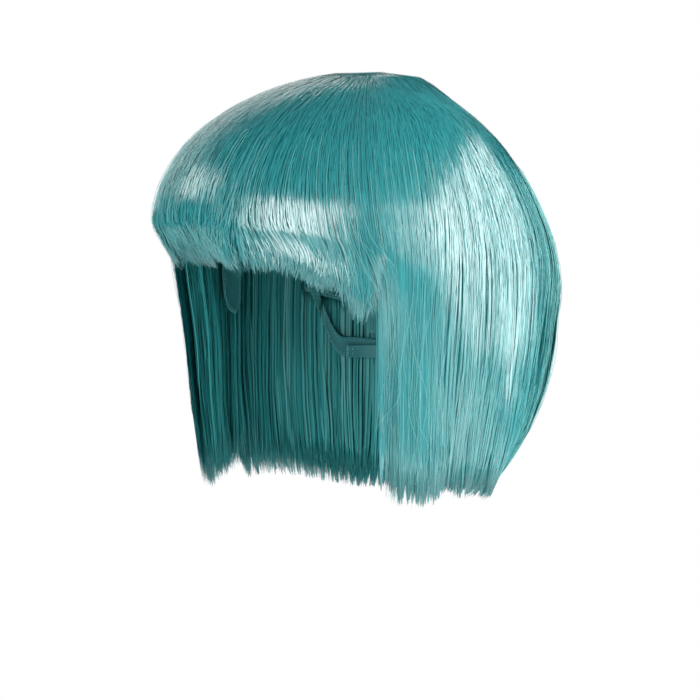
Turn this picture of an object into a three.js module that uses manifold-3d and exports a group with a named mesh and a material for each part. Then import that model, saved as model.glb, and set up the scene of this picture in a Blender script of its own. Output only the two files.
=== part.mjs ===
// A costume wig: a bob to the jaw with a full fringe, on an open wefted cap, in the shape it takes on a head.
// Millimetres, +Z up. The face looks along -Y and +X is the wearer's left. The origin is in the middle of the
// space for the head, CROWN_HEIGHT below the top of the hair.

import * as THREE from 'three';
import { mergeVertices } from 'three/addons/utils/BufferGeometryUtils.js';
import Module from 'manifold-3d';

const wasm = await Module();
wasm.setup();

// ---------- driving dimensions ----------

const CROWN_HEIGHT = 120; // top of the hair above the origin
const HALF_WIDTH = 101; // outside of the hair at its fullest, across the ears
const HALF_LENGTH = 118; // outside of the hair at its fullest, front and back
const HEAD_HALF_WIDTH = 79; // hair's inner face at the fullest level, against the cap
const HEAD_HALF_LENGTH = 97;
const WHORL_BACK = 15; // the crown whorl lies this far behind the middle
const WHORL_THICKNESS = 9; // hair over the cap at the whorl
const HEM_THICKNESS = 12; // all the rows together at the hem
const FULL_DROP_FRONT = 77; // from the top of the hair down to its fullest level
const FULL_DROP_BACK = 129;

const FRINGE_EDGE = 50; // degrees from the middle of the face to where the fringe meets the side hair
const SIDE_EDGE = 110; // and to where the side hair meets the back hair
const TURN_STEP = 10; // degrees between the stations of every curved piece
const PIECE_GAP = 0.8; // mm left free between neighbouring pieces, and between one row of hair and the next

const CAP_OUTSIDE = -1.8; // the cap's outer face, measured out from the hair's inner face
const TAPE_THICKNESS = 1.0;
const BAND_WIDTH = 11; // binding tape round the cap's edge
const RIB_HALF_TURN = 3.8; // degrees, half the width of a rib tape

// Levels run 0 at the whorl, 1 at the fullest part and 2 at the hem. Rows of hair start at these stations.
const LEVELS = [0.025, 0.18, 0.36, 0.54, 0.72, 0.9, 1.08, 1.3, 1.55, 1.78, 2];
const PATCH_LEVEL = 0.34; // edge of the crown patch
const ROW_SHORTENING = 0.02; // each row under the top one is cut this much shorter

// ---------- the wig's form ----------

const degrees = THREE.MathUtils.degToRad;
const mix = THREE.MathUtils.lerp;
const ease = THREE.MathUtils.smoothstep;
const backness = (turn) => (1 - Math.cos(degrees(turn))) / 2; // 0 at the face, 1 at the nape

// Radius of an ellipse in the direction of a turn from the face.
function ellipse(turn, halfWidth, halfLength) {
  return 1 / Math.hypot(Math.sin(degrees(turn)) / halfWidth, Math.cos(degrees(turn)) / halfLength);
}

// A smooth line through [turn, value] stations that is the same on both sides of the face.
function through(stations, turn) {
  const t = Math.abs(turn > 180 ? turn - 360 : turn);
  const next = stations.findIndex(([at]) => at >= t);
  if (next <= 0) return next === 0 ? stations[0][1] : stations.at(-1)[1];
  const [[a, low], [b, high]] = [stations[next - 1], stations[next]];
  return mix(low, high, ease(t, a, b));
}

// How far below the top of the hair each hem and the cap's edge lie.
const FRINGE_HEM = [[0, 103], [24, 107], [40, 117], [50, 133]];
const BOB_HEM = [[50, 216], [70, 236], [82, 226], [94, 224], [135, 231], [180, 233]];
const CAP_EDGE = [[0, 60], [36, 64], [62, 104], [78, 111], [94, 104], [108, 116], [127, 160], [150, 163], [180, 164]];

// The crown is a superellipse, full at the front and rounder at the back: powers at the face and at the nape.
const REACH_POWER = [0.92, 1.1];
const DROP_POWER = [1.08, 1.24];

// Below its fullest level the hair turns in by a share of its radius, at once beside the face and only near the
// hem elsewhere: the share at the hem, and the power it grows by on the way down.
const BOB_TUCK = [[50, 0.19], [75, 0.14], [95, 0.14], [140, 0.36], [180, 0.36]];
const BOB_TUCK_POWER = [[50, 0.9], [75, 1.3], [95, 2.4], [180, 2.6]];

const fringe = {
  hem: (turn) => through(FRINGE_HEM, turn),
  tuck: () => 0.13,
  tuckPower: () => 1.45,
};
const bob = {
  hem: (turn) => through(BOB_HEM, turn),
  tuck: (turn) => through(BOB_TUCK, turn),
  tuckPower: (turn) => through(BOB_TUCK_POWER, turn),
};

// A point of the wig. turn is in degrees from the face, level as above, share runs from 0 on the hair's inner
// face to 1 on its outer face, and out moves the point on along the same line, in millimetres.
function point(cut, turn, level, share, out = 0) {
  const fullDrop = mix(FULL_DROP_FRONT, FULL_DROP_BACK, backness(turn));
  const hairRadius = ellipse(turn, HALF_WIDTH, HALF_LENGTH);
  const headRadius = ellipse(turn, HEAD_HALF_WIDTH, HEAD_HALF_LENGTH);
  let outer, inner;
  if (level <= 1) {
    const angle = (level * Math.PI) / 2;
    const across = Math.sin(angle) ** mix(...REACH_POWER, backness(turn));
    const down = 1 - Math.max(0, Math.cos(angle)) ** mix(...DROP_POWER, backness(turn));
    outer = [hairRadius * across, fullDrop * down];
    inner = [headRadius * across, WHORL_THICKNESS + (fullDrop - WHORL_THICKNESS) * down];
  } else {
    const fall = level - 1;
    const tucked = hairRadius * (1 - cut.tuck(turn) * fall ** cut.tuckPower(turn));
    const drop = fullDrop + (cut.hem(turn) - fullDrop) * fall;
    outer = [tucked, drop];
    inner = [tucked - mix(hairRadius - headRadius, HEM_THICKNESS, fall), drop];
  }
  const thickness = Math.hypot(outer[0] - inner[0], outer[1] - inner[1]);
  const along = share + out / thickness;
  const radius = mix(inner[0], outer[0], along);
  const back = WHORL_BACK * Math.max(0, 1 - outer[0] / hairRadius) * (level <= 1 ? 1 : 0);
  return new THREE.Vector3(
    radius * Math.sin(degrees(turn)),
    back - radius * Math.cos(degrees(turn)),
    CROWN_HEIGHT - mix(inner[1], outer[1], along),
  );
}

// The level at which the hair's inner face is this far below the top.
function levelAt(turn, drop) {
  const fullDrop = mix(FULL_DROP_FRONT, FULL_DROP_BACK, backness(turn));
  if (drop > fullDrop) return 1 + (drop - fullDrop) / (bob.hem(turn) - fullDrop);
  const down = (drop - WHORL_THICKNESS) / (fullDrop - WHORL_THICKNESS);
  return (Math.acos((1 - down) ** (1 / mix(...DROP_POWER, backness(turn)))) * 2) / Math.PI;
}

// The turns from one edge of a piece to the other, on the shared stations in between.
function turnsBetween(from, to, step = TURN_STEP) {
  const turns = [from];
  for (let turn = Math.ceil((from + 1) / step) * step; turn < to - 1; turn += step) turns.push(turn);
  return [...turns, to];
}

// ---------- making solids ----------

// Moves every vertex of a geometry and welds it, so that it stays one closed surface.
function bend(geometry, place) {
  geometry.deleteAttribute('normal');
  geometry.deleteAttribute('uv');
  const position = geometry.getAttribute('position');
  for (let i = 0; i < position.count; i++) {
    const moved = place(position.getX(i), position.getY(i), position.getZ(i));
    position.setXYZ(i, moved.x, moved.y, moved.z);
  }
  const welded = mergeVertices(geometry, 1e-3);
  welded.computeVertexNormals();
  return welded;
}

// Splits the cells of a box's rear face along the same diagonal as those of its front face, so that the faces of
// two rows that lie over each other stay parallel.
function matchDiagonals(box) {
  const index = box.index;
  const rear = box.groups.at(-1);
  for (let i = rear.start; i < rear.start + rear.count; i += 6) {
    const [a, b, d, c] = [0, 1, 2, 4].map((step) => index.getX(i + step));
    [a, b, c, a, c, d].forEach((corner, step) => index.setX(i + step, corner));
  }
  return box;
}

// A box cut into cells and bent: place(turn, level, outside) gives each corner. levels may be a function of
// the turn. Both side edges are drawn in by half the gap.
function strip(turns, levels, place, gap = PIECE_GAP) {
  const levelsOf = typeof levels === 'function' ? levels : () => levels;
  const across = turns.length - 1;
  const down = levelsOf(turns[0]).length - 1;
  const box = matchDiagonals(new THREE.BoxGeometry(1, 1, 1, across, down, 1));
  return bend(box, (x, y, z) => {
    const turn = turns[Math.round((x + 0.5) * across)];
    const corner = place(turn, levelsOf(turn)[Math.round((0.5 - y) * down)], z > 0);
    const drawIn = Math.abs(x) < 0.49 ? 0 : (-Math.sign(x) * gap) / 2;
    return corner.add(new THREE.Vector3(drawIn * Math.cos(degrees(turn)), drawIn * Math.sin(degrees(turn)), 0));
  });
}

const solid = (geometry) =>
  new wasm.Manifold(
    new wasm.Mesh({
      numProp: 3,
      vertProperties: geometry.getAttribute('position').array,
      triVerts: new Uint32Array(geometry.index.array),
    }),
  );

function geometryOf(made) {
  const mesh = made.getMesh();
  const geometry = new THREE.BufferGeometry()
    .setAttribute('position', new THREE.BufferAttribute(mesh.vertProperties, 3))
    .setIndex(new THREE.BufferAttribute(mesh.triVerts, 1));
  geometry.computeVertexNormals();
  return geometry;
}

const wig = new THREE.Group();

function add(name, geometry, material, parent = wig) {
  const mesh = new THREE.Mesh(geometry, material);
  mesh.name = name;
  parent.add(mesh);
  return mesh;
}

const SIDES = [['left', 1], ['right', -1]];

const fibre = new THREE.MeshStandardMaterial({ color: 0x3fa3a6, roughness: 0.35, metalness: 0 });
const net = new THREE.MeshStandardMaterial({ color: 0x2f7f83, roughness: 0.8, metalness: 0 });
const tape = new THREE.MeshStandardMaterial({ color: 0x2b6e73, roughness: 0.9, metalness: 0 });
const elastic = new THREE.MeshStandardMaterial({ color: 0x35868a, roughness: 0.75, metalness: 0 });
const hookPlastic = new THREE.MeshStandardMaterial({ color: 0xdfe8e6, roughness: 0.3, metalness: 0 });

// ---------- rows of hair ----------

// The share of the hair's thickness that one row takes at a level: rows that have started lie over each other,
// the crown's own hair outermost, and each makes room for the next a little above its seam.
function rowShares(starts, row, level) {
  const weight = starts.map((start, i) => (i === 0 ? 1 : ease(level, start - 0.16, start + 0.05)));
  const total = weight.reduce((sum, w) => sum + w, 0);
  const over = weight.slice(0, row).reduce((sum, w) => sum + w, 0);
  return [1 - (over + weight[row]) / total, 1 - over / total];
}

function hairRow(name, cut, starts, row, from, to) {
  const end = 2 - ROW_SHORTENING * row;
  const levels = LEVELS.filter((level) => level >= starts[row] && level < end).concat(end);
  const turns = turnsBetween(from, to);
  const geometry = strip(turns, levels, (turn, level, outside) => {
    const [low, high] = rowShares(starts, row, level);
    return outside
      ? point(cut, turn, level, high, row === 0 ? 0 : -PIECE_GAP / 2)
      : point(cut, turn, level, low, PIECE_GAP / 2);
  });
  add(name, geometry, fibre);
}

const CROWN_START = LEVELS[0];
const FRINGE_ROWS = [CROWN_START, 0.36, 0.54];
const SIDE_ROWS = [CROWN_START, 0.36, 0.54, 0.72];
const BACK_ROWS = [CROWN_START, 0.36, 0.54, 0.72, 0.9, 1.08];

hairRow('crown_hair_front', fringe, FRINGE_ROWS, 0, -FRINGE_EDGE, FRINGE_EDGE);
hairRow('fringe_weft_upper', fringe, FRINGE_ROWS, 1, -FRINGE_EDGE, FRINGE_EDGE);
hairRow('fringe_weft_lower', fringe, FRINGE_ROWS, 2, -FRINGE_EDGE, FRINGE_EDGE);
for (const [side, sign] of SIDES) {
  const [front, back] = sign > 0 ? [FRINGE_EDGE, SIDE_EDGE] : [-SIDE_EDGE, -FRINGE_EDGE];
  hairRow(`crown_hair_${side}`, bob, SIDE_ROWS, 0, front, back);
  for (let row = 1; row < SIDE_ROWS.length; row++) {
    hairRow(`side_weft_${side}_${row}`, bob, SIDE_ROWS, row, front, back);
  }
}
hairRow('crown_hair_back_left', bob, BACK_ROWS, 0, SIDE_EDGE, 180);
hairRow('crown_hair_back_right', bob, BACK_ROWS, 0, 180, 360 - SIDE_EDGE);
for (let row = 1; row < BACK_ROWS.length; row++) {
  hairRow(`back_weft_${row}`, bob, BACK_ROWS, row, SIDE_EDGE, 360 - SIDE_EDGE);
}

// ---------- the cap ----------

const capFace = (turn, level, outside) =>
  point(bob, turn, level, 0, CAP_OUTSIDE - (outside ? 0 : TAPE_THICKNESS));

// Crown patch: a round of closed net, made as a flat disc in a lathe and then laid on the head.
const PATCH_RINGS = [0.18, PATCH_LEVEL];
const patchProfile = [
  ...[0, ...PATCH_RINGS].map((level) => new THREE.Vector2(level, -1)),
  ...[0, ...PATCH_RINGS].reverse().map((level) => new THREE.Vector2(level, 1)),
];
add(
  'crown_patch',
  bend(new THREE.LatheGeometry(patchProfile, 360 / TURN_STEP), (x, y, z) => {
    const turn = THREE.MathUtils.radToDeg(Math.atan2(x, z));
    return capFace(turn, Math.hypot(x, z), y > 0);
  }),
  net,
);

// Binding tapes round the edge: the forehead, over each ear, and the elastic one at the nape.
const EAR_FRONT = 62;
const EAR_BACK = 118;
function edgeBand(name, from, to, material) {
  const levels = (turn) => {
    const edge = through(CAP_EDGE, turn);
    return [levelAt(turn, edge - BAND_WIDTH), levelAt(turn, edge)];
  };
  add(name, strip(turnsBetween(from, to, TURN_STEP / 2), levels, capFace), material);
}
edgeBand('forehead_band', -EAR_FRONT, EAR_FRONT, tape);
edgeBand('ear_band_left', EAR_FRONT, EAR_BACK, tape);
edgeBand('ear_band_right', -EAR_BACK, -EAR_FRONT, tape);
edgeBand('nape_band', EAR_BACK, 360 - EAR_BACK, elastic);

// Rib tapes from the crown patch out to the bands. The rows of hair are sewn across them.
const RIB_CLEARANCE = 3; // mm above the band
const RIB_START = 0.355;
function rib(name, turn) {
  const lowest = levelAt(turn, through(CAP_EDGE, turn) - BAND_WIDTH - RIB_CLEARANCE);
  const levels = (at) => {
    const end = levelAt(at, through(CAP_EDGE, at) - BAND_WIDTH - RIB_CLEARANCE);
    const inside = LEVELS.filter((level) => level > RIB_START + 0.1 && level < lowest - 0.1);
    return [RIB_START, ...inside, end];
  };
  add(name, strip([turn - RIB_HALF_TURN, turn + RIB_HALF_TURN], levels, capFace), tape);
}
rib('rib_front_left', 25);
rib('rib_front_right', -25);
rib('rib_temple_left', 55);
rib('rib_temple_right', -55);
rib('rib_side_left', 95);
rib('rib_side_right', -95);
rib('rib_back_left', 140);
rib('rib_back_right', -140);
rib('rib_back_middle', 180);

// Ear tabs: a rounded flap of tape in front of each ear, which bends in about its upper edge.
const TAB_FRONT = 63.5;
const TAB_BACK = 77;
const TAB_DROP = 24;
const TAB_CLEARANCE = 0.6;
for (const [side, sign] of SIDES) {
  const middle = (TAB_FRONT + TAB_BACK) / 2;
  const half = (TAB_BACK - TAB_FRONT) / 2;
  const ease01 = (turn) => Math.sqrt(Math.max(0, 1 - Math.abs((turn - middle) / half) ** 3));
  const offsets = [-1, -0.9, -0.6, 0, 0.6, 0.9, 1];
  const turns = offsets.map((offset) => sign * middle + offset * half);
  const levels = (turn) => {
    const from = through(CAP_EDGE, turn) + TAB_CLEARANCE;
    const to = from + 6 + (TAB_DROP - 6) * ease01(Math.abs(turn));
    return [levelAt(turn, from), levelAt(turn, (from + to) / 2), levelAt(turn, to)];
  };
  add(`ear_tab_${side}`, strip(turns, levels, capFace), tape);
}

// ---------- nape adjusters ----------
// On each side an elastic strap is sewn to the nape band behind the ear and ends in a flat hook. The hook's
// tongue goes in behind one of the soft bars of a ladder tape. All of it lies on one arc inside the nape band,
// so that the hook can be moved from bar to bar along it. Turns here are about the arc's own centre.

const ARC_CENTRE_BACK = 26; // the arc's centre lies this far behind the origin
const ARC_RADIUS = 67.1; // outer face of the ladder tape
const ARC_HEIGHT = -37; // middle of the straps above the origin
const FIT = 0.35; // play round the tongue and between parts that slide over each other
const LADDER_START = 153.5;
const LADDER_END = 179.3;
const LADDER_HEIGHT = 9;
const BACKING = 0.7; // the tape behind the bars
const BAR_THICKNESS = 0.8;
const BAR_COUNT = 4;
const BAR_PITCH = (LADDER_END - LADDER_START) / BAR_COUNT;
const BAR_SHARE = 0.4; // of the pitch
const HOOKED_BAR = 2; // counted from the ear
const HOOK_THICKNESS = 1;
const TONGUE_HEIGHT = 4.2;
const TONGUE_TURN = 3.4;
const NECK_TURN = 1.2;
const PLATE_TURN = 10;
const PLATE_HEIGHT = 9;
const STRAP_START = 110;
const STRAP_HEIGHT = 7;
const STRAP_THICKNESS = 0.9;
const STRAP_SEWN_RADIUS = 68.2; // where the strap is sewn to the band

// A piece of a ring round the nape, from one turn to another. outer may be a function of the turn.
function arcStrip(sign, from, to, height, outer, thickness, step = 2) {
  const outerAt = typeof outer === 'function' ? outer : () => outer;
  const count = Math.max(1, Math.round((to - from) / step));
  const turns = Array.from({ length: count + 1 }, (_, i) => mix(from, to, i / count) * sign);
  if (sign < 0) turns.reverse();
  const place = (turn, up, outside) => {
    const radius = outerAt(Math.abs(turn)) - (outside ? 0 : thickness);
    return new THREE.Vector3(
      radius * Math.sin(degrees(turn)),
      ARC_CENTRE_BACK - radius * Math.cos(degrees(turn)),
      ARC_HEIGHT + up,
    );
  };
  return strip(turns, [height / 2, -height / 2], place, 0);
}

const tongueOuter = ARC_RADIUS - BACKING - FIT;
const barOuter = tongueOuter - HOOK_THICKNESS - FIT;
const plateOuter = barOuter - BAR_THICKNESS - FIT;
const neckEnd = LADDER_START + BAR_PITCH * (HOOKED_BAR - BAR_SHARE) - 0.3;
const plateStart = neckEnd - PLATE_TURN;

// Two rails with bars between them on a backing tape, and a channel behind the bars for the tongue.
function ladderTape(sign) {
  const channelHeight = TONGUE_HEIGHT + 2 * FIT;
  const depth = ARC_RADIUS - barOuter + BAR_THICKNESS;
  const channel = solid(
    arcStrip(sign, LADDER_START - 2, LADDER_END + 2, channelHeight, ARC_RADIUS - BACKING, tongueOuter - barOuter + FIT),
  );
  let ladder = solid(arcStrip(sign, LADDER_START, LADDER_END, LADDER_HEIGHT, ARC_RADIUS, depth)).subtract(channel);
  for (let bar = 0; bar < BAR_COUNT; bar++) {
    const from = LADDER_START + BAR_PITCH * bar - (bar === 0 ? 1 : 0);
    const to = LADDER_START + BAR_PITCH * (bar + 1 - BAR_SHARE);
    ladder = ladder.subtract(solid(arcStrip(sign, from, to, channelHeight, ARC_RADIUS - BACKING, depth)));
  }
  return geometryOf(ladder);
}

// A plate with a slot for the strap, a neck outwards between two bars, and the tongue behind the next bar.
function hook(sign) {
  const plate = solid(arcStrip(sign, plateStart, neckEnd, PLATE_HEIGHT, plateOuter, HOOK_THICKNESS));
  const slot = solid(arcStrip(sign, plateStart + 1, plateStart + 2.4, STRAP_HEIGHT, plateOuter + 1, HOOK_THICKNESS + 2));
  const neckDepth = tongueOuter - plateOuter + HOOK_THICKNESS / 2;
  const neck = solid(arcStrip(sign, neckEnd - NECK_TURN, neckEnd, TONGUE_HEIGHT, tongueOuter, neckDepth));
  const tongue = solid(
    arcStrip(sign, neckEnd - NECK_TURN, neckEnd + TONGUE_TURN, TONGUE_HEIGHT, tongueOuter, HOOK_THICKNESS),
  );
  return geometryOf(plate.subtract(slot).add(neck).add(tongue));
}

// The strap leaves the band and comes in over the ladder to the hook's plate.
function strap(sign) {
  const outer = (turn) => mix(STRAP_SEWN_RADIUS, plateOuter, ease(turn, STRAP_START + 6, STRAP_START + 32));
  return arcStrip(sign, STRAP_START, plateStart - 0.3, STRAP_HEIGHT, outer, STRAP_THICKNESS, 4);
}

for (const [side, sign] of SIDES) {
  add(`adjuster_strap_${side}`, strap(sign), elastic);
  add(`adjuster_hook_${side}`, hook(sign), hookPlastic);
  add(`ladder_tape_${side}`, ladderTape(sign), tape);
}

export default wig;
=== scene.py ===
import bmesh
import bpy
import math
import numpy as np
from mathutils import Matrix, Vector


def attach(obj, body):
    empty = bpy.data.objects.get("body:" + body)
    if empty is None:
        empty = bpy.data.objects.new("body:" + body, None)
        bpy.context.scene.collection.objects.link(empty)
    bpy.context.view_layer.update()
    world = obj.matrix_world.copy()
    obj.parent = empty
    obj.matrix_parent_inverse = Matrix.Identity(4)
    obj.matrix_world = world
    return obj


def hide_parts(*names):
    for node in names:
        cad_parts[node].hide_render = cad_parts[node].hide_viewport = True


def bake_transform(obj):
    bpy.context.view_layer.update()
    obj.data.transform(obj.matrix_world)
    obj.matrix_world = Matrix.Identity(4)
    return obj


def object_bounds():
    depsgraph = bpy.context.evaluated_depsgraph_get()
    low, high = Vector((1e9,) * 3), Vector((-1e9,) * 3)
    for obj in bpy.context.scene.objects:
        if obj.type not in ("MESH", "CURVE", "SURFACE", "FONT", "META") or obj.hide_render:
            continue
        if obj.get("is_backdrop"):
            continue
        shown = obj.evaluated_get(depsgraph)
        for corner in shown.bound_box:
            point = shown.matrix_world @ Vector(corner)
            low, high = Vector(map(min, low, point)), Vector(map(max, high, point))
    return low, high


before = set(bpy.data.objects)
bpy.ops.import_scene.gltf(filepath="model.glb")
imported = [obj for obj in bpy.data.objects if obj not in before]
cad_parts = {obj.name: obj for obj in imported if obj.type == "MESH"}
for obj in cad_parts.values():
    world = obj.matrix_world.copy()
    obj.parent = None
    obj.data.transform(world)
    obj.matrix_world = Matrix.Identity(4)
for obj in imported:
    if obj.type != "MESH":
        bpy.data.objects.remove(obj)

cad_low, cad_high = (Vector(corner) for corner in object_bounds())


# ---- Camera ----
# A long lens looks at the wearer's left cheek from a little above, as in a catalogue portrait. It stands still:
# everything is placed from the wig.

VIEW_AZIMUTH, VIEW_ELEVATION = 48, 4  # degrees from the face towards the wearer's left, and above level
VIEW_WIDTH = 0.378
CAMERA_DISTANCE = 2.6
SENSOR = 36


def direction(azimuth, elevation):
    """From the wig towards a point at that azimuth from the face and that height, in degrees."""
    a, e = math.radians(azimuth), math.radians(elevation)
    return Vector((math.sin(a) * math.cos(e), -math.cos(a) * math.cos(e), math.sin(e)))


def aimed(thing, place, target):
    """Puts a camera or light at a place, looking at the target."""
    thing.location = place
    thing.rotation_euler = (target - place).to_track_quat("-Z", "Y").to_euler()
    bpy.context.scene.collection.objects.link(thing)


view_centre = direction(VIEW_AZIMUTH - 90, 0) * 0.004 + Vector((0, 0, -0.0307))
lens = bpy.data.cameras.new("portrait")
lens.sensor_width = SENSOR
lens.lens = SENSOR * CAMERA_DISTANCE / VIEW_WIDTH
camera = bpy.data.objects.new("portrait", lens)
aimed(camera, view_centre + direction(VIEW_AZIMUTH, VIEW_ELEVATION) * CAMERA_DISTANCE, view_centre)
bpy.context.scene.camera = camera


# ---- Floor, backdrop and lights ----
# A pale studio floor well below the wig, which hangs where a head would hold it, and soft boxes around it. A large
# one stands in front and a wide one beside the wearer's left cheek, for the broad bands of sheen on the fringe and
# the side hair. Small ones at the brow and temple and one behind fill in between.

FLOOR_DROP, FLOOR_SIZE = 0.45, 3
BOX_TINT = (1.0, 0.985, 0.95)
GLOW_ON_WIG, GLOW_SEEN = 0.1, 1.0  # strength of the pale surround, as light and as background
bpy.ops.object.select_all(action="DESELECT")
bpy.ops.mesh.primitive_plane_add(size=FLOOR_SIZE, location=(0, 0, cad_low.z - FLOOR_DROP))
bpy.ops.object.transform_apply(location=True)
floor = bpy.context.object
floor.name = "floor"
paper = bpy.data.materials.new("pale_paper")
paper.use_nodes = True
paper_shader = paper.node_tree.nodes["Principled BSDF"]
paper_shader.inputs["Base Color"].default_value = (0.8, 0.8, 0.8, 1)
paper_shader.inputs["Roughness"].default_value = 0.9
floor.data.materials.append(paper)
floor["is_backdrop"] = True


def soft_box(name, azimuth, elevation, distance, width, height, power):
    """A rectangular light that faces the wig, with its distance and sizes in metres."""
    box = bpy.data.lights.new(name, "AREA")
    box.shape = "RECTANGLE"
    box.size, box.size_y = width, height
    box.energy = power
    box.color = BOX_TINT
    aimed(bpy.data.objects.new(name, box), direction(azimuth, elevation) * distance, Vector((0, 0, 0)))


soft_box("front_box", VIEW_AZIMUTH - 36, 9, 3.2, 2.6, 2.6, 92)
soft_box("brow_box", VIEW_AZIMUTH - 105, 28, 2.0, 0.9, 0.7, 6)
soft_box("temple_box", VIEW_AZIMUTH + 46, 16, 1.5, 1.3, 1.1, 7)
soft_box("side_box", VIEW_AZIMUTH + 92, 15, 1.5, 2.7, 1.7, 55)
soft_box("back_box", VIEW_AZIMUTH + 205, 20, 2.4, 2.0, 1.6, 14)

world = bpy.data.worlds.new("studio")
world.use_nodes = True
bpy.context.scene.world = world
bpy.context.scene.view_settings.view_transform = "Standard"
surround = world.node_tree.nodes["Background"]
surround.inputs["Color"].default_value = (1, 1, 1, 1)
seen = world.node_tree.nodes.new("ShaderNodeLightPath")
strength = world.node_tree.nodes.new("ShaderNodeMix")
strength.inputs["A"].default_value = GLOW_ON_WIG
strength.inputs["B"].default_value = GLOW_SEEN
world.node_tree.links.new(seen.outputs["Is Camera Ray"], strength.inputs["Factor"])
world.node_tree.links.new(strength.outputs["Result"], surround.inputs["Strength"])


# ---- Hair ----
# Straight satin synthetic fibre, in rows that hang over each other from the whorl down. It is cut to a full fringe
# in front, to a longer point before each jaw, and level round the back, where it turns in to the nape.

CROWN_HEIGHT = cad_high.z * 1000  # this and the sizes below are in millimetres
HALF_WIDTH, HALF_LENGTH = 101, 118
HEAD_HALF_WIDTH, HEAD_HALF_LENGTH = 79, 97
WHORL_BACK, WHORL_THICKNESS, HEM_THICKNESS = 15, 9, 12
FULL_DROP = (77, 129)  # from the top down to the fullest level, at the face and at the nape
REACH_POWER, DROP_POWER = (0.92, 1.1), (1.08, 1.24)  # how round the crown is, at the face and at the nape
HEM = {  # how far below the top each cut ends, by turn
    "fringe": ((0, 103), (24, 107), (40, 117), (50, 133)),
    "bob": ((50, 216), (70, 236), (82, 226), (94, 224), (135, 231), (180, 233)),
}
TUCK = {  # how much the hem turns in, as a share of the reach, by turn
    "fringe": ((0, 0.13), (180, 0.13)),
    "bob": ((50, 0.19), (75, 0.14), (95, 0.14), (140, 0.36), (180, 0.36)),
}
TUCK_POWER = {  # how late on the way down it does, by turn
    "fringe": ((0, 1.45), (180, 1.45)),
    "bob": ((50, 0.9), (75, 1.3), (95, 2.4), (180, 2.6)),
}


def mix(a, b, t):
    return a + (b - a) * t


def ease(value, low, high):
    t = np.clip((value - low) / (high - low), 0, 1)
    return t * t * (3 - 2 * t)


def from_face(turn):
    """The same turn as an angle from -180 to 180 degrees, which is positive on the wearer's left."""
    return (turn + 180) % 360 - 180


def through(stations, turn):
    """A smooth line through (turn, value) stations, the same on both sides of the face."""
    turn = np.abs(from_face(np.asarray(turn, float)))
    value = np.full(turn.shape, float(stations[0][1]))
    for (a, low), (b, high) in zip(stations, stations[1:]):
        value = np.where(turn > a, mix(low, high, ease(turn, a, b)), value)
    return value


def hair_point(cut, turn, level, share, out=0.0):
    """Points of the hair, in millimetres. turn is in degrees from the face; level is 0 at the whorl, 1 at the
    fullest part and 2 at the hem; share is 0 on the hair's inner face and 1 on its outer; out is added outwards."""
    angle = np.radians(turn)
    back = (1 - np.cos(angle)) / 2
    full = mix(*FULL_DROP, back)
    reach = 1 / np.hypot(np.sin(angle) / HALF_WIDTH, np.cos(angle) / HALF_LENGTH)
    head = 1 / np.hypot(np.sin(angle) / HEAD_HALF_WIDTH, np.cos(angle) / HEAD_HALF_LENGTH)
    bend = np.clip(level, 0.001, 1) * math.pi / 2
    across = np.sin(bend) ** mix(*REACH_POWER, back)
    down = 1 - np.maximum(np.cos(bend), 0) ** mix(*DROP_POWER, back)
    fall = np.maximum(level - 1, 0)
    crown = level <= 1
    tucked = reach * (1 - through(TUCK[cut], turn) * fall ** through(TUCK_POWER[cut], turn))
    drop = full + (through(HEM[cut], turn) - full) * fall
    outer_r = np.where(crown, reach * across, tucked)
    outer_z = np.where(crown, full * down, drop)
    inner_r = np.where(crown, head * across, tucked - mix(reach - head, HEM_THICKNESS, np.minimum(fall, 1)))
    inner_z = np.where(crown, WHORL_THICKNESS + (full - WHORL_THICKNESS) * down, drop)
    along = share + out / np.hypot(outer_r - inner_r, outer_z - inner_z)
    r = mix(inner_r, outer_r, along)
    middle = np.where(crown, WHORL_BACK * np.maximum(0, 1 - outer_r / reach), 0)
    z = CROWN_HEIGHT - mix(inner_z, outer_z, along)
    return np.stack([r * np.sin(angle), middle - r * np.cos(angle), z], -1)


def row_shares(starts, row, level):
    """The share of the hair's thickness that a row takes at a level, from its inner to its outer face."""
    weight = [np.ones_like(level) if i == 0 else ease(level, s - 0.16, s + 0.05) for i, s in enumerate(starts)]
    total = sum(weight)
    over = sum(weight[:row], np.zeros_like(level))
    return 1 - (over + weight[row]) / total, 1 - over / total


# How many degrees a lock has swung round by the time it is halfway down, by the turn of its root: to both sides of
# the thin place in the fringe, forwards to the temple beside it, and into the point of hair before the jaw.
SWEEP = (
    (0, -1.5), (15, -3), (17.5, 4), (30, 8), (44, 9), (60, 5), (72, 0.5), (79.6, -1.5), (80.4, 1), (100, 0), (180, 0)
)
PARTING = 65  # degrees: behind it the hair comes out of the whorl in a curl towards the back


def swept(turn, level):
    """The turn of a strand at a level, from the turn it has at its root."""
    angle = from_face(turn)
    begins = 0.8 - 0.45 * ease(np.abs(angle), 22, 40)
    sweep = np.where(angle < 0, -1, 1) * through(SWEEP, turn) * ease(level, begins, 1.6)
    behind = ease(angle, PARTING, PARTING + 1) * (1 - ease(angle, 120, 175))
    before = (1 - ease(angle, PARTING - 1, PARTING)) * ease(angle, PARTING - 40, PARTING)
    curl = 26 * behind * (1 - ease(level, 0.02, 0.42))
    return turn + sweep - curl - 6 * before * (1 - ease(level, 0.1, 0.5))


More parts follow.
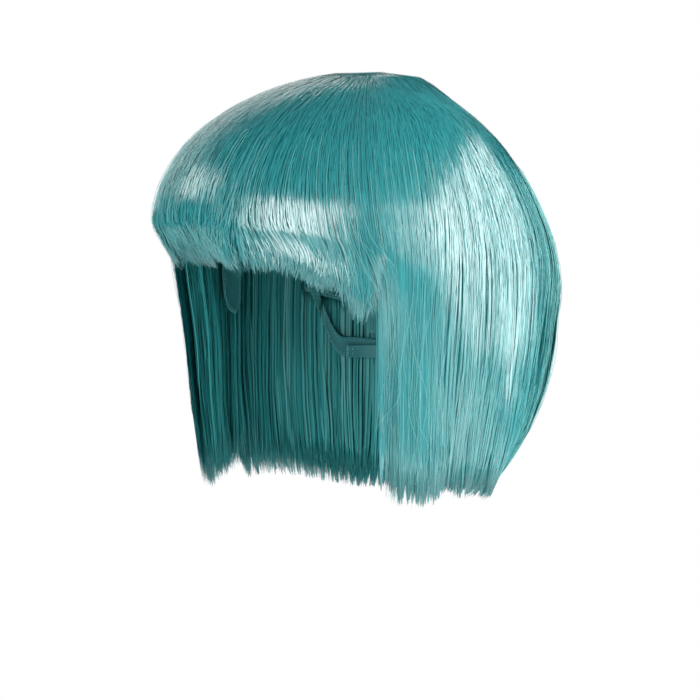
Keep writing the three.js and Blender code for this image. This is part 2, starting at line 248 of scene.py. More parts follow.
def lift(turn, level):
    """How far the outer hair stands off the plain form, in millimetres."""
    angle = from_face(turn)
    side = np.abs(angle)
    # a tuft behind the whorl, with a dip below it
    tuft = 1.4 * np.exp(-(((level - 0.17) / 0.06) ** 2)) - 1.6 * np.exp(-(((level - 0.3) / 0.06) ** 2))
    tuft = tuft * np.exp(-(((angle - 135) / 60) ** 2))
    dome = 1.2 * ease(level, 0.3, 0.6) * (1 - ease(level, 1.0, 1.4))
    # the point before the jaw lies over the hair behind it
    point = 2.0 * ease(side, 52, 60) * (1 - ease(side, 79, 81)) - 3.0 * ease(side, 80, 82) * (1 - ease(side, 92, 106))
    # the fringe swells out to its left end, and is flatter on the right
    ends = 1 - ease(side, 50, 60)
    corner = 2.2 * ease(side, 38, 46) * (1 - ease(side, 54, 60)) * ease(level, 0.9, 1.2)
    flatter = 5.0 * ease(-angle, 15, 38) * ends * ease(level, 0.25, 0.9)
    swollen = 10.0 * ease(angle, 0, 14) * (1 - ease(side, 50, 58)) * ease(level, 1.0, 2.0)
    nape = 4.0 * ease(side, 96, 120) * ease(level, 0.75, 1.15)
    return tuft + point * ease(level, 1.35, 1.8) + corner - flatter + swollen - nape + dome


LANES = 64  # strips of the fibre pattern, given to the strands by chance


def tubes(centre, outward, width, thickness, roll, lane, along):
    """Closed, flattened three-sided strands from their middle lines: points, quads, end triangles and their UVs.
    centre and outward are strands x stations x 3, in millimetres."""
    count, stations, _ = centre.shape
    tangent = np.gradient(centre, axis=1)
    tangent /= np.linalg.norm(tangent, axis=2, keepdims=True)
    outward = outward - tangent * (outward * tangent).sum(2, keepdims=True)
    outward /= np.linalg.norm(outward, axis=2, keepdims=True)
    across = np.cross(tangent, outward)
    cos, sin = np.cos(roll)[..., None], np.sin(roll)[..., None]
    flat, up = across * cos + outward * sin, outward * cos - across * sin
    corners = [math.radians(a) for a in (90, 210, 330)]
    ring = [
        centre + flat * (math.cos(a) * width / 2)[..., None] + up * (math.sin(a) * thickness / 2)[..., None]
        for a in corners
    ]
    points = np.stack(ring, 2).reshape(-1, 3) / 1000
    first = (np.arange(count) * stations * 3)[:, None, None]
    corner = np.arange(3)[None, None, :]
    base = first + (np.arange(stations - 1) * 3)[None, :, None]
    after = (corner + 1) % 3
    quads = np.stack([base + corner, base + after, base + 3 + after, base + 3 + corner], -1).reshape(-1, 4)
    starts = first[:, 0, :] + np.array([[2, 1, 0]])
    ends = first[:, 0, :] + (stations - 1) * 3 + np.array([[0, 1, 2]])
    shape = (count, stations - 1, 3, 4)
    u = (lane[:, None, None, None] + 0.05 + 0.3 * (corner[..., None] + np.array([0, 1, 1, 0]))) / LANES
    v = np.stack([along[:, :-1], along[:, :-1], along[:, 1:], along[:, 1:]], -1)[:, :, None, :]
    quad_uv = np.stack([np.broadcast_to(u, shape), np.broadcast_to(v, shape)], -1).reshape(-1, 2)
    cap_u = np.repeat(np.tile((lane + 0.5) / LANES, 2), 3)
    cap_v = np.repeat(np.concatenate([along[:, 0], along[:, -1]]), 3)
    return points, quads, np.concatenate([starts, ends]), quad_uv, np.stack([cap_u, cap_v], -1)


def mesh_of(name, bundles):
    """One mesh from several bundles of tubes. The UVs lie in the layer that the fibre pattern reads."""
    offsets = np.cumsum([0] + [len(bundle[0]) for bundle in bundles])
    points = np.concatenate([bundle[0] for bundle in bundles])
    quads = np.concatenate([bundle[1] + offset for bundle, offset in zip(bundles, offsets)])
    caps = np.concatenate([bundle[2] + offset for bundle, offset in zip(bundles, offsets)])
    uv = np.concatenate([bundle[3] for bundle in bundles] + [bundle[4] for bundle in bundles])
    mesh = bpy.data.meshes.new(name)
    mesh.vertices.add(len(points))
    mesh.vertices.foreach_set("co", points.ravel())
    mesh.loops.add(quads.size + caps.size)
    mesh.loops.foreach_set("vertex_index", np.concatenate([quads.ravel(), caps.ravel()]).astype(np.int32))
    mesh.polygons.add(len(quads) + len(caps))
    starts = np.concatenate([np.arange(len(quads)) * 4, quads.size + np.arange(len(caps)) * 3])
    mesh.polygons.foreach_set("loop_start", starts.astype(np.int32))
    mesh.update(calc_edges=True)
    mesh.shade_smooth()
    # a strand is a flat fibre: smooth along and over its outer face, with a crease at each side
    ends = np.empty(len(mesh.edges) * 2, np.int32)
    mesh.edges.foreach_get("vertices", ends)
    ends = np.sort(ends.reshape(-1, 2), axis=1)
    crease = (ends[:, 1] - ends[:, 0] == 3) & (ends[:, 0] % 3 != 0)
    mesh.attributes.new("sharp_edge", "BOOLEAN", "EDGE").data.foreach_set("value", crease)
    mesh.uv_layers.new(name="OFBake").data.foreach_set("uv", uv.ravel())
    return mesh


def strands(
    cut, starts, row, sector, rng, *, count, width, depths, roots, ragged, stations,
    flat=0.035, twist=0.035, astray=0.0,
):
    """A bundle of strands of one row. sector is the turns it spans, width a strand's width in millimetres, depths
    its place between the row's inner and outer face, roots the levels its strands start between, ragged how
    uneven its ends are, in levels, stations how many points shape a strand, flat its thickness for its width, twist
    how unevenly the strands are turned, in radians, and astray how far they stray, in degrees."""
    fringe = cut == "fringe"
    turn = rng.uniform(*sector, count)
    depth = mix(*depths, rng.uniform(0, 1, count))
    root = mix(*roots, rng.uniform(0, 1, count) ** 2.5)
    tip = 2 - 0.02 * row - np.abs(rng.normal(0, ragged, count)) + rng.normal(0, 0.006, count)
    side = np.abs(from_face(turn))
    if not fringe:  # the point before the jaw is thinned, most of all at its front
        tip -= 0.06 * ease(side, 54, 62) * (1 - ease(side, 80, 86))
        tip -= rng.uniform(0, 1, count) ** 2 * 0.5 * (1 - ease(side, 50, 58))

    # locks: neighbours draw together towards their ends, and swell and wave together
    lock_width, draw, begins = (6.5, 0.75, 0.8) if fringe else (3.2, 0.4, 1.5)
    lock = np.round(turn / lock_width + 0.35 * np.sin(turn * 1.7) + rng.normal(0, 0.2, count))
    phase = (np.sin(lock * 12.9) * 43758.5) % 1 * 2 * math.pi
    if fringe:  # its locks differ in length, and it is shorter over the wearer's right eye
        tip -= 0.5 * ease(-turn, 18, 40)
        tip -= 0.03 * phase
    s = np.linspace(0, 1, stations)[None, :]
    level = root[:, None] + (tip - root)[:, None] * s
    uneven = 0.5 * lock_width * np.sin(lock * 7.3)
    pull = (lock * lock_width + uneven - turn)[:, None] * draw * ease(level, begins, 2.1) ** 2
    drift = (rng.normal(0, 1, count) * (0.3 + 1.3 * (1 - ease(side, 50, 56))))[:, None] * ease(s, 0.05, 1)
    own = rng.normal(0, 0.07, count)[:, None] * np.sin(
        s * rng.uniform(3, 8, count)[:, None] + rng.uniform(0, 2 * math.pi, count)[:, None]
    )
    wave = 0.3 * np.sin(s * 4 + phase[:, None])
    loose = rng.normal(0, 1, count)[:, None] * astray
    line = swept(turn[:, None], level) + pull + (drift + own + wave) * ease(s, 0.05, 0.6)
    line = line + loose * (s ** 2 + 0.4 * np.sin(s * 9 + phase[:, None]) * s)

    inner, outer = row_shares(starts, row, level)
    rise = ease(level, root[:, None] - 0.04, root[:, None] + 0.04)
    rise = np.maximum(rise, 0.9 * (root[:, None] < 0.03))  # at the whorl the hair stands straight up
    share = mix(inner, outer, (0.05 + 0.95 * depth[:, None]) * rise)
    swell = 0.7 * np.sin(s * 7 + phase[:, None] * 2) + 0.45 * np.sin(s * 16 + phase[:, None] * 3)
    out = rng.normal(0, 0.12, count)[:, None] + swell * ease(s, 0.15, 0.5) + lift(line, level) * share ** 2
    out = out + np.abs(loose) * 0.16 * np.sin(s * math.pi)
    centre = hair_point(cut, line, level, share, out)
    outward = hair_point(cut, line, level, share, out + 2) - centre

    taper = ease(s, -0.02, 0.05) * (1 - 0.9 * ease(s, 0.72 if fringe else 0.88, 1.0))
    wide = width * rng.uniform(0.75, 1.25, count)[:, None] * taper
    roll = rng.normal(0, twist, count)[:, None] + rng.normal(0, 0.02, count)[:, None] * s
    lane = (lock * 7 + rng.integers(0, 4, count)).astype(int) % LANES
    return tubes(centre, outward, wide, wide * flat, roll, lane, np.clip(level / 2.05, 0, 1))


def hair_piece(name, bundles, fibre, node=None):
    """Strands as one piece, which may stand for a row of the cap's hair."""
    piece = bpy.data.objects.new(name, mesh_of(name, bundles))
    bpy.context.scene.collection.objects.link(piece)
    piece.data.materials.append(fibre)
    if node:
        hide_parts(node)
    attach(piece, "cap")


class Wire:
    """An output in a material's nodes. Arithmetic on it adds Math nodes."""

    def __init__(self, tree, socket=None):
        self.tree, self.socket = tree, socket

    def node(self, kind, inputs=None, output=0, **settings):
        """Adds a node with its settings, then its inputs, by name or number, and gives one of its outputs."""
        made = self.tree.nodes.new(kind)
        for name, value in settings.items():
            setattr(made, name, value)
        for name, value in (inputs or {}).items():
            if isinstance(value, Wire):
                self.tree.links.new(value.socket, made.inputs[name])
            else:
                made.inputs[name].default_value = value
        return Wire(self.tree, made.outputs[output])

    def math(self, operation, *values):
        return self.node("ShaderNodeMath", dict(enumerate(values)), operation=operation)

    def __add__(self, other):
        return self.math("ADD", self, other)

    def __mul__(self, other):
        return self.math("MULTIPLY", self, other)

    def __sub__(self, other):
        return self.math("SUBTRACT", self, other)

    def __rsub__(self, other):
        return self.math("SUBTRACT", other, self)

    __radd__, __rmul__ = __add__, __mul__

    def __lt__(self, other):
        return self.math("LESS_THAN", self, other)

    def __abs__(self):
        return self.math("ABSOLUTE", self)

    def sine(self):
        return self.math("SINE", self)

    def colour(self, low, high):
        """Between two colours, by this value."""
        return self.node("ShaderNodeMix", {0: self, 6: (*low, 1), 7: (*high, 1)}, 2, data_type="RGBA")

    def to(self, node, name):
        self.tree.links.new(self.socket, node.inputs[name])


def new_material(name, roughness, **constants):
    """A material, its shader node and the start of its wiring. Constants are sockets with underscores for spaces."""
    material = bpy.data.materials.new(name)
    material.use_nodes = True
    shader = material.node_tree.nodes["Principled BSDF"]
    shader.inputs["Roughness"].default_value = roughness
    for socket, value in constants.items():
        shader.inputs[socket.replace("_", " ")].default_value = value
    return material, shader, Wire(material.node_tree)


TONES_ALONG = 2.2  # how many times the tone may change from root to tip


def fibre_material(name, roughness, ior, dark, light):
    """Satin fibre. Its tone varies from lock to lock and slowly along each strand."""
    material, shader, wire = new_material(name, roughness, IOR=ior, Anisotropic=0.4)
    pattern = wire.node("ShaderNodeUVMap", uv_map="OFBake")
    lanes = wire.node("ShaderNodeVectorMath", {0: pattern, 1: (LANES, TONES_ALONG, 0)}, operation="MULTIPLY")
    tone = wire.node("ShaderNodeTexNoise", {"Vector": lanes, "Scale": 1.0, "Detail": 2.0})
    tone.colour(dark, light).to(shader, "Base Color")
    return material


hair_fibre = fibre_material("satin_fibre", 0.23, 2.5, (0.012, 0.275, 0.31), (0.026, 0.4, 0.44))
# the strays are the same fibre coloured lighter than the hair: a painted highlight for the light that loose fibres
# catch
stray_fibre_painted_highlight = fibre_material("stray_fibre_painted_highlight", 0.35, 1.6, (0.07, 0.40, 0.42), (0.2, 0.58, 0.58))
# the rows under the crown hair are the same fibre, made rougher and coloured darker: the darker colour is painted
# shade
weft_fibre_painted_shade = fibre_material("under_fibre_painted_shade", 0.5, 1.5, (0.012, 0.22, 0.24), (0.025, 0.33, 0.345))

# the levels at which the rows of each cut are sewn, from the crown hair down
FRINGE_ROWS = (0.025, 0.36, 0.54)
SIDE_ROWS = (0.025, 0.36, 0.54, 0.72)
BACK_ROWS = (0.025, 0.36, 0.54, 0.72, 0.9, 1.08)


def crown_piece(name, cut, starts, sector, seed, share, ragged):
    """Crown hair over one sector: fine strands on the outside, flat locks under them, and some that stray. share
    is its size."""
    rng = np.random.default_rng(seed)
    fine = strands(
        cut, starts, 0, sector, rng, count=int(1800 * share), width=0.52, depths=(0.8, 1), roots=(0.008, 0.4),
        ragged=ragged, stations=14,
    )
    locks = strands(
        cut, starts, 0, sector, rng, count=int(230 * share), width=4.0, depths=(0.5, 0.8), roots=(0.002, 0.1),
        ragged=ragged, stations=14, flat=0.05,
    )
    hair_piece(f"{name}_strands", [fine, locks], hair_fibre, name)
    # strays in the lighter fibre, whose colour is a painted highlight
    stray = strands(
        cut, starts, 0, sector, rng, count=int(120 * share), width=0.2, depths=(1, 1.1), roots=(0.5, 1.5),
        ragged=0.2, stations=18, flat=0.7, twist=0.5, astray=4,
    )
    hair_piece(f"{name}_strays", [stray], stray_fibre_painted_highlight)


def weft_piece(name, cut, starts, row, sector, seed, count, ragged):
    """One of the rows under the crown hair, in plainer and thicker strands."""
    rng = np.random.default_rng(seed)
    hair = strands(
        cut, starts, row, sector, rng, count=count, width=1.1, depths=(0, 1),
        roots=(starts[row], starts[row] + 0.02), ragged=ragged, stations=12, flat=0.4, twist=0.4,
    )
    # in the darker fibre, whose colour is painted shade
    hair_piece(f"{name}_strands", [hair], weft_fibre_painted_shade, name)


crown_piece("crown_hair_front", "fringe", FRINGE_ROWS, (-50, 50), 1, 1.15, 0.1)
weft_piece("fringe_weft_upper", "fringe", FRINGE_ROWS, 1, (-50, 50), 2, 800, 0.25)
weft_piece("fringe_weft_lower", "fringe", FRINGE_ROWS, 2, (-50, 50), 3, 600, 0.3)
for side, sign in (("left", 1), ("right", -1)):
    sector = sorted((sign * 50, sign * 110))
    crown_piece(f"crown_hair_{side}", "bob", SIDE_ROWS, sector, 10 + sign, 1.0, 0.045)
    for row in (1, 2, 3):
        weft_piece(f"side_weft_{side}_{row}", "bob", SIDE_ROWS, row, sector, 20 + 3 * row + sign, 500, 0.06)
    sector = (110, 180) if sign > 0 else (180, 250)
    crown_piece(f"crown_hair_back_{side}", "bob", BACK_ROWS, sector, 40 + sign, 1.12, 0.03)
for row in range(1, 6):
    weft_piece(f"back_weft_{row}", "bob", BACK_ROWS, row, (110, 250), 50 + row, 800, 0.03)


# ---- Crown patch ----
# A round of fine knitted net, stretched over the top of the head. The crown hair is knotted into it, so that it
# can spread every way from the whorl.

CAP_OUTSIDE = -1.8  # the cap's outer face, in millimetres out from the hair's inner face
TAPE_THICKNESS = 1.0
PATCH_LEVEL = 0.34
NET_PITCH = 4200  # radians to the metre: its threads cross every 0.75 mm
# how far below the top the cap ends, by turn
CAP_EDGE = ((0, 60), (36, 64), (62, 104), (78, 111), (94, 104), (108, 116), (127, 160), (150, 163), (180, 164))


def cap_level(turn, drop):
    """The level at which the inner face of the hair is that far below the top, in millimetres."""
    back = (1 - np.cos(np.radians(turn))) / 2
    full = mix(*FULL_DROP, back)
    down = np.clip((drop - WHORL_THICKNESS) / (full - WHORL_THICKNESS), 0, 1)
    crown = np.arccos((1 - down) ** (1 / mix(*DROP_POWER, back))) * 2 / math.pi
    return np.where(drop > full, 1 + (drop - full) / (through(HEM["bob"], turn) - full), crown)


def on_cap(turn, level, inwards=0.0):
    """Points of the middle of the cap's cloth, and the way out from them."""
    out = CAP_OUTSIDE - TAPE_THICKNESS / 2 - inwards
    middle = hair_point("bob", turn, level, 0, out)
    return middle, hair_point("bob", turn, level, 0, out + 1) - middle


def cloth(name, middle, outward, thickness, material, edge=1e-6):
    """A closed sheet of cloth round a grid of middle points, in millimetres. Its pattern runs along the grid's rows
    and across its columns, in metres."""
    rows, columns, _ = middle.shape
    count = rows * columns
    offset = outward / np.linalg.norm(outward, axis=2, keepdims=True) * thickness[..., None] / 2
    points = np.concatenate([(middle + offset).reshape(-1, 3), (middle - offset).reshape(-1, 3)]) / 1000
    at = np.arange(count).reshape(rows, columns)
    upper = np.stack([at[:-1, :-1], at[1:, :-1], at[1:, 1:], at[:-1, 1:]], -1).reshape(-1, 4)
    rim = np.concatenate([at[0, :], at[1:, -1], at[-1, -2::-1], at[-2:0:-1, 0]])
    after = np.roll(rim, -1)
    faces = np.concatenate([upper, upper[:, ::-1] + count, np.stack([rim, after, after + count, rim + count], -1)])
    mesh = bpy.data.meshes.new(name)
    mesh.from_pydata(points.tolist(), [], faces.tolist())
    step = np.linalg.norm(np.diff(middle, axis=0, prepend=middle[:1]), axis=2).max(1).cumsum()
    beside = np.linalg.norm(np.diff(middle, axis=1, prepend=middle[:, :1]), axis=2).max(0).cumsum()
    along, across = (grid.ravel() / 1000 for grid in np.meshgrid(step, beside, indexing="ij"))
    vertex = np.concatenate([np.stack([along, across], -1)] * 2)
    corners = np.array([loop.vertex_index for loop in mesh.loops])
    mesh.uv_layers.new(name="weave").data.foreach_set("uv", vertex[corners].ravel())
    solid = bmesh.new()
    solid.from_mesh(mesh)
    bmesh.ops.remove_doubles(solid, verts=solid.verts, dist=edge)
    bmesh.ops.recalc_face_normals(solid, faces=solid.faces)
    solid.to_mesh(mesh)
    solid.free()
    mesh.shade_smooth()
    piece = bpy.data.objects.new(name, mesh)
    bpy.context.scene.collection.objects.link(piece)
    mesh.materials.append(material)
    return piece


net_mesh, shader, wire = new_material("knitted_net", 0.7)
place = wire.node("ShaderNodeTexCoord", output=3)
x, y = (wire.node("ShaderNodeSeparateXYZ", {0: place}, axis) for axis in (0, 1))
holes = ((x + y) * NET_PITCH).sine() * ((x - y) * NET_PITCH).sine()
threads = abs(holes) < 0.22
threads.colour((0.012, 0.12, 0.135), (0.06, 0.36, 0.38)).to(shader, "Base Color")
(threads * 0.65 + 0.35).to(shader, "Alpha")
bump = wire.node("ShaderNodeBump", {"Height": threads, "Distance": 0.0002, "Strength": 0.6})
bump.to(shader, "Normal")

turns = np.linspace(0, 360, 73)[:, None]
rings = np.array([0.0, 0.02, 0.05, 0.09, 0.14, 0.19, 0.24, 0.29, 0.325, 0.333, PATCH_LEVEL])[None, :]
middle, outward = on_cap(*np.broadcast_arrays(turns, rings))
gauge = np.broadcast_to(np.array([0.6] * 8 + [1.0, 1.0, 0.5]), middle.shape[:2])
patch = cloth("crown_patch_net", middle, outward, gauge, net_mesh, 1e-4)
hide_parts("crown_patch")
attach(patch, "cap")
rim = np.linalg.norm(middle[:, -1, :2] - middle[:, 0, :2], axis=1)
across = rim.max() * 2


# ---- Cap tapes ----
# Woven polyester tape with firm selvedges: a binding round the edge of the cap, elastic at the nape, and ribs from
# the crown patch down to it. The rows of hair are sewn across the ribs, and two lines of stitches hold each tape.

# places across a tape, from edge to edge, and its thickness there for its full thickness
TAPE_ACROSS = np.array([-1, -0.95, -0.85, -0.72, 0, 0.72, 0.85, 0.95, 1])[None, :]
SELVEDGE = np.array([0.3, 0.85, 1.0, 0.78, 0.7, 0.78, 1.0, 0.85, 0.3])[None, :]
STITCH_LENGTH, STITCH_PITCH, THREAD = 1.7, 2.6, 0.42  # mm
ON_TAPE = 0.38  # how far from the tape's middle its stitches lie, for its thickness
BAND_WIDTH = 11
EAR_FRONT, EAR_BACK = 62, 118
RIB_START, RIB_HALF_TURN, RIB_CLEARANCE = 0.355, 3.8, 3


def woven_material(name, dark, light, along_pitch, across_pitch, roughness=0.62):
    """Cloth with crossing threads: the pitch of its threads along and across the tape, in metres."""
    material, shader, wire = new_material(name, roughness)
    pattern = wire.node("ShaderNodeUVMap", uv_map="weave")
    u, v = (wire.node("ShaderNodeSeparateXYZ", {0: pattern}, axis) for axis in (0, 1))
    weft = (u * (2 * math.pi / along_pitch)).sine()
    warp = (v * (2 * math.pi / across_pitch)).sine()
    weave = weft * warp * 0.35 + warp * 0.15 + 0.5
    uneven = wire.node("ShaderNodeTexNoise", {"Vector": pattern, "Scale": 700.0, "Detail": 3.0})
    (weave * 0.7 + uneven * 0.3).colour(dark, light).to(shader, "Base Color")
    height = weave + uneven * 0.2
    wire.node("ShaderNodeBump", {"Height": height, "Distance": 0.00015, "Strength": 0.7}).to(shader, "Normal")
    return material


tape_weave = woven_material("woven_tape", (0.012, 0.13, 0.15), (0.05, 0.33, 0.35), 0.0008, 0.0009)
elastic_weave = woven_material("ribbed_elastic", (0.010, 0.11, 0.13), (0.05, 0.30, 0.33), 0.0006, 0.0014, 0.55)
thread, shader, wire = new_material("sewing_thread", 0.4)
grain = wire.node("ShaderNodeTexNoise", {"Vector": wire.node("ShaderNodeTexCoord", output=3), "Scale": 2500.0})
grain.colour((0.05, 0.34, 0.36), (0.12, 0.50, 0.52)).to(shader, "Base Color")


def sewing(name, lines, body):
    """Rows of stitches. Each line is the points it follows and the way up from the cloth, in millimetres."""
    centres, ups = [], []
    for points, up in lines:
        run = np.concatenate([[0], np.linalg.norm(np.diff(points, axis=0), axis=1).cumsum()])
        starts = np.arange(STITCH_PITCH / 2, run[-1] - STITCH_LENGTH, STITCH_PITCH)
        at = starts[:, None] + np.array([0, 0.15, 0.5, 0.85, 1]) * STITCH_LENGTH
        up = up / np.linalg.norm(up, axis=1, keepdims=True)
        place = np.stack([np.interp(at, run, points[:, axis]) for axis in range(3)], -1)
        over = np.stack([np.interp(at, run, up[:, axis]) for axis in range(3)], -1)
        rise = np.array([-0.25, 0.12, 0.2, 0.12, -0.25])[None, :, None]
        centres.append(place + over * rise)
        ups.append(over)
    centre, up = np.concatenate(centres), np.concatenate(ups)
    wide = np.full(centre.shape[:2], THREAD)
    count = len(centre)
    bundle = tubes(centre, up, wide, wide, np.zeros_like(wide), np.zeros(count, int), np.zeros_like(wide))
    piece = bpy.data.objects.new(name, mesh_of(name, [bundle]))
    bpy.context.scene.collection.objects.link(piece)
    piece.data.materials.append(thread)
    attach(piece, body)
    return piece


def cap_tape(node, middle, outward, material=None, slot="cap_tape"):
    """A tape laid along the grid's rows, with its selvedges and stitches, that stands for a node of the cap."""
    gauge = np.broadcast_to(SELVEDGE * TAPE_THICKNESS * 0.98, middle.shape[:2])
    tape = cloth(f"{node}_tape", middle, outward, gauge, material or tape_weave)
    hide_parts(node)
    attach(tape, "cap")
    lines = []
    for column in (3, 5):
        line = mix(middle[:, column], middle[:, 4], 0.12)
        away = outward[:, column] / np.linalg.norm(outward[:, column], axis=1, keepdims=True)
        lines += [(line - away * ON_TAPE * TAPE_THICKNESS, -away), (line + away * ON_TAPE * TAPE_THICKNESS, away)]
    sewing(f"{node}_stitches", lines, "cap")
    return tape


def edge_band(node, first, last, material=None, slot="cap_tape"):
    """A binding along the cap's edge, between two turns."""
    turn = np.linspace(first, last, max(20, int(abs(last - first) / 1.5)))[:, None]
    edge = through(CAP_EDGE, turn)
    level = cap_level(turn, edge - BAND_WIDTH * (1 - TAPE_ACROSS) / 2)
    middle, outward = on_cap(np.broadcast_to(turn, level.shape), level)
    tape = cap_tape(node, middle, outward, material, slot)


edge_band("forehead_band", -EAR_FRONT + 0.4, EAR_FRONT - 0.4)
edge_band("ear_band_left", EAR_FRONT + 0.4, EAR_BACK - 0.4)
edge_band("ear_band_right", -EAR_BACK + 0.4, -EAR_FRONT - 0.4)
edge_band("nape_band", EAR_BACK + 0.4, 360 - EAR_BACK - 0.4, elastic_weave, "elastic_tape")
for name, middle_turn in (
    ("front_left", 25), ("front_right", -25), ("temple_left", 55), ("temple_right", -55), ("side_left", 95),
    ("side_right", -95), ("back_left", 140), ("back_right", -140), ("back_middle", 180),
):
    turn = middle_turn + RIB_HALF_TURN * TAPE_ACROSS
    end = cap_level(turn, through(CAP_EDGE, turn) - BAND_WIDTH - RIB_CLEARANCE)
    level = mix(RIB_START, end, np.linspace(0, 1, 40)[:, None])
    cap_tape("rib_" + name, *on_cap(np.broadcast_to(turn, level.shape), level))


# ---- Weft headers ----
# Where each row of hair is sewn to the ribs, its fibres are folded over into a narrow, firm edge, with two lines of
# machine stitches along it.

HEADER_LEVELS = 0.014  # half its height, in levels
HEADER_GAUGE = np.array([0.35, 0.75, 0.95, 0.8, 0.95, 0.75, 0.35])  # mm, across it
ON_EDGE = 0.42  # mm from the cloth's middle to its stitches, as on the ear tabs
header_weave = woven_material("folded_weft", (0.008, 0.10, 0.115), (0.03, 0.24, 0.26), 0.0005, 0.0011, 0.5)


def weft_header(row_name, cut, level, first, last):
    """The sewn edge of a row at that level, between two turns."""
    turn = np.linspace(first, last, max(16, int(abs(last - first) / 2)))[:, None]
    level = level + HEADER_LEVELS * np.linspace(-1, 1, 7)[None, :] + 0 * turn
    turn = np.broadcast_to(turn, level.shape)
    middle = hair_point(cut, turn, level, 0, -0.9)
    outward = hair_point(cut, turn, level, 0, 0.1) - middle
    gauge = np.broadcast_to(HEADER_GAUGE, level.shape)
    header = cloth(f"{row_name}_header", middle, outward, gauge, header_weave)
    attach(header, "cap")
    away = outward / np.linalg.norm(outward, axis=2, keepdims=True)
    lines = [(middle[:, column] - away[:, column] * ON_EDGE, -away[:, column]) for column in (2, 4)]
    sewing(f"{row_name}_header_stitches", lines, "cap")


for name, row in (("fringe_weft_upper", 1), ("fringe_weft_lower", 2)):
    weft_header(name, "fringe", FRINGE_ROWS[row], -49, 49)
for row in (1, 2, 3):
    weft_header(f"side_weft_left_{row}", "bob", SIDE_ROWS[row], 51, 109)
    weft_header(f"side_weft_right_{row}", "bob", SIDE_ROWS[row], -109, -51)
for row in range(1, 6):
    weft_header(f"back_weft_{row}", "bob", BACK_ROWS[row], 111, 249)


# ---- Ear tabs ----
# A rounded flap of doubled tape in front of each ear, sewn in under the binding. It bends in and out, so that the
# wearer can feel that the cap sits level.

TAB_FRONT, TAB_BACK, TAB_DROP, TAB_OVERLAP = 63.5, 77, 24, 4

for side, sign in (("left", 1), ("right", -1)):
    node = f"ear_tab_{side}"
    share = np.linspace(-1, 1, 21)[None, :]
    turn = sign * mix(TAB_FRONT, TAB_BACK, (share + 1) / 2)
    top = through(CAP_EDGE, turn)
    round_end = 6.6 + (TAB_DROP - 6) * np.sqrt(np.maximum(0, 1 - np.abs(share) ** 3))
    down = np.linspace(0, 1, 25)[:, None]
    drop = top - TAB_OVERLAP + (round_end + TAB_OVERLAP) * down
    under = 1.25 * (1 - ease(drop - top, -0.5, 4.0))
    out = CAP_OUTSIDE - TAPE_THICKNESS / 2 - under
    level = cap_level(np.broadcast_to(turn, drop.shape), drop)
    turn = np.broadcast_to(turn, drop.shape)
    middle = hair_point("bob", turn, level, 0, out)
    outward = hair_point("bob", turn, level, 0, out + 1) - middle
    edge = np.minimum(1 - np.abs(share), np.minimum(down, 1 - down) * 2)
    gauge = 0.3 + 0.62 * np.clip(edge / 0.12, 0, 1) ** 0.6 - 0.15 * ease(edge, 0.16, 0.3)
    tab = cloth(f"{node}_flap", middle, outward, np.broadcast_to(gauge, drop.shape), tape_weave)
    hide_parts(node)
    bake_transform(tab)
    away = outward / np.linalg.norm(outward, axis=2, keepdims=True)
    # one seam runs down, round and up just inside the tab's edge, and one holds its top to the binding
    down_rows, bottom, up_rows = range(6, 22), range(3, 18), range(21, 5, -1)
    at = np.array([(row, 2) for row in down_rows] + [(22, c) for c in bottom] + [(row, 18) for row in up_rows])
    seam, seam_away = middle[at[:, 0], at[:, 1]], away[at[:, 0], at[:, 1]]
    faces = [(seam - seam_away * ON_EDGE, -seam_away), (seam + seam_away * ON_EDGE, seam_away)]
    sewing(f"{node}_stitches", faces, node)
    sewing(f"{node}_top_stitches", [(middle[2, 1:20] - away[2, 1:20] * ON_EDGE, -away[2, 1:20])], "cap")


# ---- Nape adjusters ----
# On each side an elastic strap, sewn to the nape band behind the ear, ends in a flat nylon hook. The hook's tongue
# goes in behind one of four soft bars of a ladder tape, and can be moved from bar to bar to fit the head.

ARC_BACK, ARC_UP, ARC_RADIUS = 26, -37, 67.1
LADDER_START, LADDER_END, LADDER_HEIGHT = 153.5, 179.3, 9
BACKING, BAR_GAUGE, BAR_INNER, CHANNEL = 0.7, 0.8, 63.9, 4.9
BAR_PITCH = (LADDER_END - LADDER_START) / 4
BAR_SHARE = 0.4
PLATE_START, PLATE_OUTER = 153.52, 63.55
STRAP_START, STRAP_HEIGHT, STRAP_GAUGE, STRAP_SEWN = 110, 7, 0.9, 68.2
ON_STRAP = 0.4  # mm from the strap's middle to its stitches
HOOK_ROUNDING = 0.00016  # m


def on_arc(sign, turn, up, radius):
    """Points of the adjusters, from a turn about their arc, a height and a radius, in millimetres."""
    turn, up, radius = np.broadcast_arrays(turn, up, radius)
    angle = np.radians(turn)
    place = np.stack([sign * radius * np.sin(angle), ARC_BACK - radius * np.cos(angle), ARC_UP + up], -1)
    return place, np.stack([sign * np.sin(angle), -np.cos(angle), np.zeros_like(angle)], -1)


nylon, shader, wire = new_material("moulded_nylon", 0.35, IOR=1.53)
place = wire.node("ShaderNodeTexCoord", output=3)
flow = wire.node("ShaderNodeTexNoise", {"Vector": place, "Scale": 400.0, "Detail": 4.0})
flow.colour((0.012, 0.10, 0.115), (0.022, 0.15, 0.165)).to(shader, "Base Color")
wire.node("ShaderNodeBump", {"Height": flow, "Distance": 0.00005, "Strength": 0.4}).to(shader, "Normal")

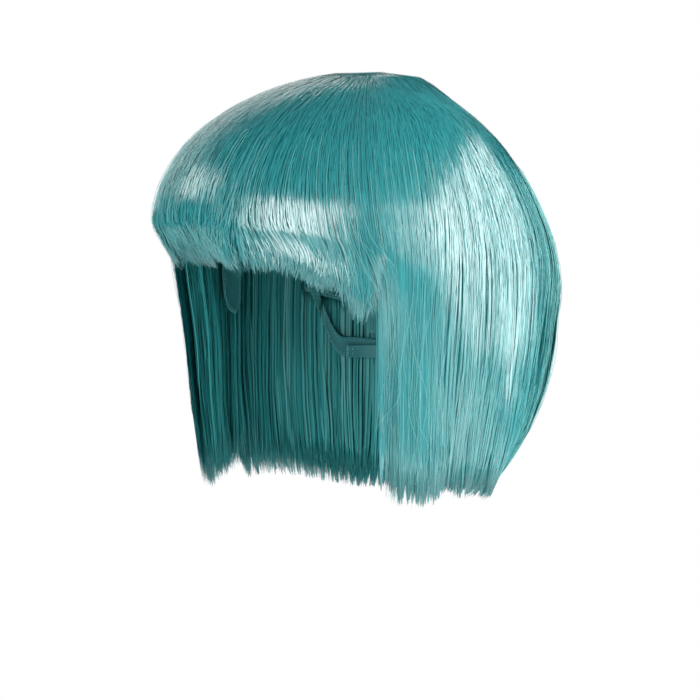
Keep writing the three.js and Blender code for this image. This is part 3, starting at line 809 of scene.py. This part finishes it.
for side, sign in (("left", 1), ("right", -1)):
    # the strap comes in from the band, passes inside the hook's plate and goes out through its slot
    to_plate = np.linspace(STRAP_START, PLATE_START - 4, 40)
    turn = np.concatenate([to_plate, np.linspace(PLATE_START - 3.6, PLATE_START + 1.8, 16)])[:, None]
    base = mix(STRAP_SEWN, PLATE_OUTER, ease(turn, STRAP_START + 6, STRAP_START + 32)) - STRAP_GAUGE / 2
    dip = 1.15 * ease(turn, PLATE_START - 3.6, PLATE_START - 0.9)
    dip = dip * (1 - ease(turn, PLATE_START + 1.15, PLATE_START + 1.8))
    squeeze = 1 - 0.1 * ease(turn, PLATE_START - 5, PLATE_START)
    middle, outward = on_arc(sign, turn, TAPE_ACROSS * STRAP_HEIGHT / 2 * squeeze, base - dip)
    gauge = SELVEDGE * STRAP_GAUGE * (1 - 0.35 * ease(turn, PLATE_START - 4, PLATE_START - 1))
    strap = cloth(f"adjuster_strap_{side}_elastic", middle, outward, gauge, elastic_weave)
    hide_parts(f"adjuster_strap_{side}")
    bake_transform(strap)
    away = outward / np.linalg.norm(outward, axis=2, keepdims=True)
    lines = [(middle[row, 1:8] - away[row, 1:8] * ON_STRAP, -away[row, 1:8]) for row in (1, 3)]
    sewing(f"adjuster_strap_{side}_stitches", lines, "cap")

    # ladder tape: a backing, a rolled rail along each edge, and four soft bars
    turn = np.linspace(LADDER_START, LADDER_END, 36)[:, None]
    middle, outward = on_arc(sign, turn, TAPE_ACROSS * LADDER_HEIGHT / 2, ARC_RADIUS - BACKING / 2)
    ladder = cloth(f"ladder_tape_{side}_woven", middle, outward, SELVEDGE * BACKING + 0 * turn, tape_weave)
    parts = [ladder]
    rail_height = (LADDER_HEIGHT - CHANNEL) / 2
    rail_depth = ARC_RADIUS - BACKING - BAR_INNER
    for edge in (-1, 1):
        across = np.linspace(-1, 1, 11)[None, :]
        up = edge * (LADDER_HEIGHT - rail_height) / 2 + across * rail_height / 2
        rounded = rail_depth * np.sqrt(np.maximum(0.06, 1 - across ** 4)) * (1 + 0.04 * np.sin(turn * 9))
        rail = on_arc(sign, turn, up, BAR_INNER + rail_depth / 2)
        parts.append(cloth("rail", *rail, np.minimum(rounded, rail_depth), tape_weave))
    for bar in range(4):
        along = np.linspace(-1, 1, 9)[:, None]
        bar_turn = LADDER_START + BAR_PITCH * (bar + 1 - BAR_SHARE / 2) + along * BAR_PITCH * BAR_SHARE / 2 * 0.96
        across = np.linspace(-1, 1, 9)[None, :]
        loop = on_arc(sign, bar_turn, across * (CHANNEL / 2 + 0.5), BAR_INNER + BAR_GAUGE / 2)
        rounded = BAR_GAUGE * np.sqrt(np.maximum(0.08, 1 - along ** 4)) * np.ones_like(across)
        parts.append(cloth("bar", *loop, rounded, tape_weave))
    bpy.ops.object.select_all(action="DESELECT")
    for part in parts:
        part.select_set(True)
    bpy.context.view_layer.objects.active = ladder
    bpy.ops.object.join()
    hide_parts(f"ladder_tape_{side}")
    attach(ladder, "cap")

    # hook: the moulded part with its edges rounded
    moulded = bpy.data.objects[f"adjuster_hook_{side}"].data.copy()
    solid = bmesh.new()
    solid.from_mesh(moulded)
    bmesh.ops.remove_doubles(solid, verts=solid.verts, dist=1e-6)
    bmesh.ops.dissolve_limit(solid, angle_limit=math.radians(1), verts=solid.verts, edges=solid.edges)
    corners = [e for e in solid.edges if len(e.link_faces) == 2 and e.calc_face_angle() > math.radians(40)]
    bmesh.ops.bevel(solid, geom=corners, offset=HOOK_ROUNDING, segments=2, profile=0.5, affect="EDGES")
    solid.to_mesh(moulded)
    solid.free()
    hook = bpy.data.objects.new(f"adjuster_hook_{side}_moulded", moulded)
    bpy.context.scene.collection.objects.link(hook)
    moulded.materials.clear()
    moulded.materials.append(nylon)
    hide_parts(f"adjuster_hook_{side}")
    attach(hook, f"adjuster_{side}")
